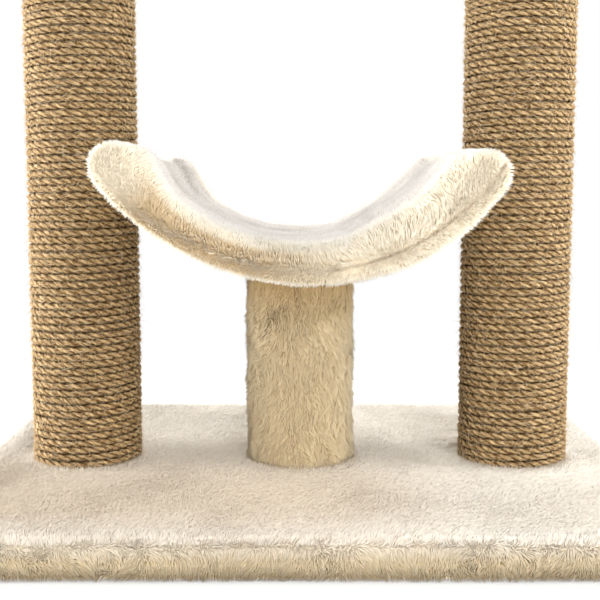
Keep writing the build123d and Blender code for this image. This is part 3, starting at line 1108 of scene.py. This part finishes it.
def cradle_form(mesh):
    """The photograph's looser lines: fuller tips beyond the posts, a hollow along the trough."""
    middle = (UNDERSIDE_RADIUS + TROUGH_RADIUS) / 2
    for vert in mesh.vertices:
        radius, angle = bend_place(vert.co)
        beyond = ease(abs(vert.co.y), *BEYOND_POSTS)
        tip = ease(abs(angle), *TIP_BENDS)
        lower_half = ease(radius, middle, UNDERSIDE_RADIUS)
        pressed = 1 - ease(angle, math.radians(8), math.radians(28))
        pressed *= 1 - ease(-angle, math.radians(34), math.radians(52))
        radius = UNDERSIDE_RADIUS - (UNDERSIDE_RADIUS - radius) * (1 - TROUGH_THINS * pressed)
        off_middle = 2 * (radius - middle) / (UNDERSIDE_RADIUS - TROUGH_RADIUS)
        rounded = max(1 - off_middle**2, 0) * ease(abs(angle), *TIP_ROUNDS)
        radius += (radius - middle) * TIP_THICKENS * tip * beyond
        longer = TIP_LENGTHENS + TIP_CORNER_LENGTHENS * lower_half + TIP_BULGE * rounded
        angle *= 1 + longer * tip * beyond
        inside = 1 - ease(radius, TROUGH_RADIUS - 2 * MM, TROUGH_RADIUS + 5 * MM)
        hollow = 1 - ease(abs(vert.co.y), 95 * MM, 160 * MM)
        radius += TROUGH_HOLLOW * inside * hollow
        vert.co.x = radius * math.sin(angle)
        vert.co.z = BEND_AXIS - radius * math.cos(angle)
        reach = CRADLE_HALF_SPAN + TIP_REACH * beyond
        vert.co.x = min(max(vert.co.x, -reach), reach)
        front = toward_front(vert.co)
        sagging = hump(angle, 32, 15)
        bellied = hump(angle, 8, 14)
        vert.co.z -= front * (FRONT_SLOPE * vert.co.x + RIM_SAG * sagging + TIP_DROOP * tip)
        vert.co.z -= front * lower_half * BELLY_DROP * (1 + sagging + bellied)


def off_the_seam(place):
    """How far a point of the cradle is from its seam, which hangs lower at the front."""
    radius, _ = bend_place(place)
    return radius - SEAM_RADIUS - SEAM_SAG * toward_front(place)


def seam_shows(place):
    """How far the seam shows: plain on one half of the cradle, lost in the pile on the other."""
    return 0.25 + 0.75 * ease(place.x, *SEAM_SHOWS)


def cradle_comb(place, normal):
    """Pile on the cradle: fluffed out, short by the posts and the seam, with painted shade on one
    half.
    """
    _, angle = bend_place(place)
    gap = math.hypot(abs(place.x) - POST_OFFSET, place.y) - POST_RADIUS
    stand = 0.2 + 0.8 * ease(gap, 1 * MM, 9 * MM)
    stand *= 1 - on_seat(place)
    on_side = max(ease(abs(normal.y), 0.6, 0.9), ease(abs(angle), CRADLE_HALF_ANGLE, 1.2))
    off_seam = off_the_seam(place)
    shown = seam_shows(place)
    seam = on_side * (1 - ease(abs(off_seam), 0.5 * MM, 3 * MM))
    stand *= 1 - 0.5 * seam * shown
    on_end = ease(abs(normal.y), 0.15, 0.6)
    at_tip = ease(abs(angle), *TIP_PILE_STARTS)
    stand *= 1 + 0.5 * on_end * ease(-off_seam, 0, 4 * MM) * (1 - at_tip)
    brushed = noise.noise_vector(place * 22) + 0.6 * noise.noise_vector(place * 60)
    outward = Vector((place.x, 0, place.z - BEND_AXIS)).normalized()
    lean = brushed * (0.8 - 0.3 * at_tip)
    lean += outward * math.copysign(0.9 * shown, off_seam) * on_side * (1 - 0.5 * at_tip)
    lean.z += 0.6 * at_tip * on_end
    # Painted shade over the left half of the end faces, short of the tips
    uneven_tone = 1 - ease(place.x, -45 * MM, 45 * MM)
    shade = 0.6 * on_end * uneven_tone * (1 - at_tip)
    return stand, lean, shade


def crease_seam(mesh):
    """Draws the cover in along the seam round the cradle's ends."""
    for vert in mesh.vertices:
        on_end = ease(abs(vert.co.y), CRADLE_HALF_LENGTH - 9 * MM, CRADLE_HALF_LENGTH - 3 * MM)
        depth = CREASE_DEPTH * math.exp(-((off_the_seam(vert.co) / CREASE_WIDTH) ** 2))
        depth *= seam_shows(vert.co)
        vert.co.y -= math.copysign(depth * on_end, vert.co.y)


def facing_in(place, normal):
    """1 where a face looks straight at the bend's axis, -1 where it looks away from it."""
    return normal.dot(Vector((-place.x, 0, BEND_AXIS - place.z)).normalized())


def dress_cradle(tuft, trough_tuft):
    """The padded cradle in its plush cover, and the cover's pile."""
    slab = shaped(bent_slab(), "cradle_slab", "REMESH", mode="VOXEL", voxel_size=6 * MM)
    slab = puff_up(slab)
    cradle_form(slab)
    cloth_mesh = shaped(slab, "cradle_cloth", "SUBSURF", levels=1, render_levels=1)
    crease_seam(cloth_mesh)
    bed = cloth_mesh.copy()
    comb_bed(bed, cradle_comb)
    cloth = new_piece("cradle_cloth", cloth_mesh, ground_cloth)
    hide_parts("cradle_top_cover", "cradle_under_cover", "cradle_padding")
    areas = (
        ("trough", lambda *face: facing_in(*face) > 0.6, trough_tuft, TROUGH_PILE),
        ("under", lambda *face: facing_in(*face) < -0.6, tuft, UNDERSIDE_PILE),
        ("rim", lambda *face: abs(facing_in(*face)) <= 0.6, tuft, RIM_PILE),
    )
    grow_piles("cradle", bed, areas, CRADLE_SEED, SMALL_CLUMPS)


# CAD nodes that stay in view


def finish_cad_nodes():
    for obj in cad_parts.values():
        for holder in obj.material_slots:
            old = holder.material.name if holder.material else ""
            for slot, finish in SLOT_FINISHES.items():
                if slot in old:
                    holder.material = finish


# Stage


def set_stage():
    """A white floor, soft lamps and the photograph's camera."""
    bm = bmesh.new()
    bmesh.ops.create_grid(bm, x_segments=1, y_segments=1, size=4.0)
    floor = in_scene("floor", to_mesh(bm, "floor"))
    plain = {"Base_Color": (0.85, 0.85, 0.85, 1), "Roughness": 0.9, "Specular_IOR_Level": 0.1}
    material, tree, shader = new_finish("white_floor", **plain)
    glow = add_node(tree, "ShaderNodeEmission")
    seen = add_node(tree, "ShaderNodeLightPath").outputs["Is Camera Ray"]
    place = vectors(tree, "ABSOLUTE", object_place(tree))
    past = vectors(tree, "SUBTRACT", place, (BOARD_HALF_WIDTH, BOARD_HALF_DEPTH, 0))
    away = maths(tree, "MAXIMUM", axis_value(tree, past, "X"), axis_value(tree, past, "Y"))
    near = ranged(tree, away, 0.0, 0.025, 0.2, 0.72)
    share = maths(tree, "ADD", near, ranged(tree, away, 0.15, 0.5, 0.0, 0.28))
    share = maths(tree, "MULTIPLY", seen, share)
    sockets = {0: share, 1: shader.outputs[0], 2: glow.outputs[0]}
    blend = add_node(tree, "ShaderNodeMixShader", sockets)
    tree.links.new(blend.outputs[0], tree.nodes["Material Output"].inputs["Surface"])
    floor.data.materials.append(material)

    world = bpy.data.worlds.new("studio")
    world.use_nodes = True
    bpy.context.scene.world = world
    tree = world.node_tree
    path = add_node(tree, "ShaderNodeLightPath")
    seen = maths(tree, "MAXIMUM", path.outputs["Is Camera Ray"], path.outputs["Is Glossy Ray"])
    seen = maths(tree, "MAXIMUM", seen, path.outputs["Is Transmission Ray"])
    level = ranged(tree, seen, 0, 1, AMBIENT_LEVEL, 1.0)
    sky = tree.nodes["Background"]
    sky.inputs["Color"].default_value = (1, 1, 1, 1)
    tree.links.new(level, sky.inputs["Strength"])

    for name, place, target, size, power in LAMPS:
        light = bpy.data.lights.new(name, "AREA")
        light.shape = "RECTANGLE"
        light.size, light.size_y = size
        light.energy = power
        lamp = in_scene(name, light)
        lamp.location = place
        lamp.rotation_euler = (Vector(target) - Vector(place)).to_track_quat("-Z", "Y").to_euler()

    lens = bpy.data.cameras.new("camera")
    lens.sensor_width = 36.0
    lens.lens = CAMERA_LENS
    camera = in_scene("camera", lens)
    camera.location = CAMERA_PLACE
    camera.rotation_euler = (math.radians(90) - CAMERA_PITCH, 0, 0)
    bpy.context.scene.camera = camera
    bpy.context.scene.view_settings.view_transform = "Standard"


strand_profile = make_strand_profile()
fibre = make_fibre()
tufts = {}
for part, look in PILE_LOOKS.items():
    tufts[part] = as_pattern(new_needle(), f"{part}_tuft", make_pile(f"{part}_pile", *look))
dress_post("left", -POST_OFFSET, strand_profile, fibre)
dress_post("right", POST_OFFSET, strand_profile, fibre)
dress_base(tufts["base"])
dress_short_post(tufts["sleeve"])
dress_cradle(tufts["cradle"], tufts["trough"])
for pattern in (strand_profile, fibre, *tufts.values()):
    discard(pattern)
finish_cad_nodes()
set_stage()
